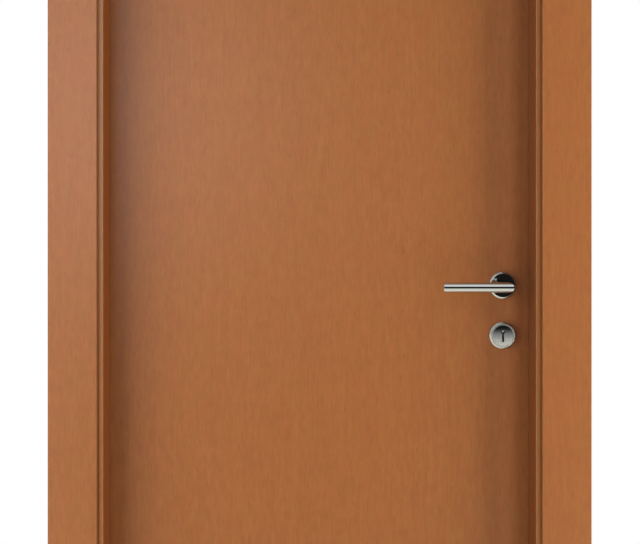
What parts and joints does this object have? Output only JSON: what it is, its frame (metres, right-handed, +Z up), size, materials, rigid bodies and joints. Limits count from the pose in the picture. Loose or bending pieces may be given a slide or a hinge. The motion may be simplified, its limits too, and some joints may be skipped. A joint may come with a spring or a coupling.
{
  "type": "semi-solid flush door",
  "caption": "Rebated flush door leaf with a semi-solid core in a lined frame with flat architraves, a round lever set and a mortice lock; the leaf swings and the lever presses down.",
  "frame": {"origin": "foot of the hinge jamb's outer face, in the middle of the wall's thickness, at floor level", "axes": "+X from the hinge jamb to the lock jamb, +Y towards the pull side where the hinges are, +Z up"},
  "size_m": [0.968, 0.182, 2.209],
  "materials": {
    "frame_veneer": "satin lacquered reddish-brown veneer",
    "leaf_veneer": "satin lacquered reddish-brown veneer, grain upright",
    "leaf_edging": "satin lacquered veneer edging",
    "raw_pine": "sawn, unfinished",
    "tubular_board": "raw chipboard",
    "seal": "matt dark red-brown",
    "polished_nickel": "polished nickel plate",
    "brushed_nickel": "brushed nickel plate",
    "hinge_steel": "nickel-plated steel",
    "lock_steel": "nickel-plated steel, satin"
  },
  "bodies": {
    "frame": {"back_architrave_head": "frame_veneer", "back_architrave_hinge_side": "frame_veneer", "back_architrave_lock_side": "frame_veneer", "front_architrave_head": "frame_veneer", "front_architrave_hinge_side": "frame_veneer", "front_architrave_lock_side": "frame_veneer", "head_jamb": "frame_veneer", "jamb_hinge_side": "frame_veneer", "jamb_lock_side": "frame_veneer", "lower_hinge_frame_half": "hinge_steel", "middle_hinge_frame_half": "hinge_steel", "seal_head": "seal", "seal_hinge_side": "seal", "seal_lock_side": "seal", "strike_plate": "lock_steel", "upper_hinge_frame_half": "hinge_steel"},
    "leaf": {"back_key_disc": "brushed_nickel", "back_key_ring": "polished_nickel", "back_rose": "polished_nickel", "dead_bolt": "lock_steel", "front_key_disc": "brushed_nickel", "front_key_ring": "polished_nickel", "front_rose": "polished_nickel", "latch_bolt": "lock_steel", "leaf_back_face": "leaf_veneer", "leaf_bottom_rail": "raw_pine", "leaf_core": "tubular_board", "leaf_front_face": "leaf_veneer", "leaf_hinge_stile": "leaf_edging", "leaf_lock_stile": "leaf_edging", "leaf_top_rail": "leaf_edging", "lock_block": "raw_pine", "lock_case": "lock_steel", "lock_faceplate": "lock_steel", "lower_hinge_leaf_half": "hinge_steel", "middle_hinge_leaf_half": "hinge_steel", "upper_hinge_leaf_half": "hinge_steel"},
    "lever": {"front_lever": "polished_nickel", "back_lever": "polished_nickel", "spindle": "lock_steel"}
  },
  "joints": [
    {"name": "leaf_swing", "type": "hinge", "parent": "frame", "child": "leaf", "pos_m": [0.021, 0.056, 1.069], "axis": [0, 0, 1], "range_deg": [0, 100]},
    {"name": "lever_press", "type": "hinge", "parent": "leaf", "child": "lever", "pos_m": [0.752, 0.043, 1.05], "axis": [0, -1, 0], "range_deg": [0, 45], "stiffness_Nm_per_rad": 2, "springref_deg": -22.92}
  ]
}
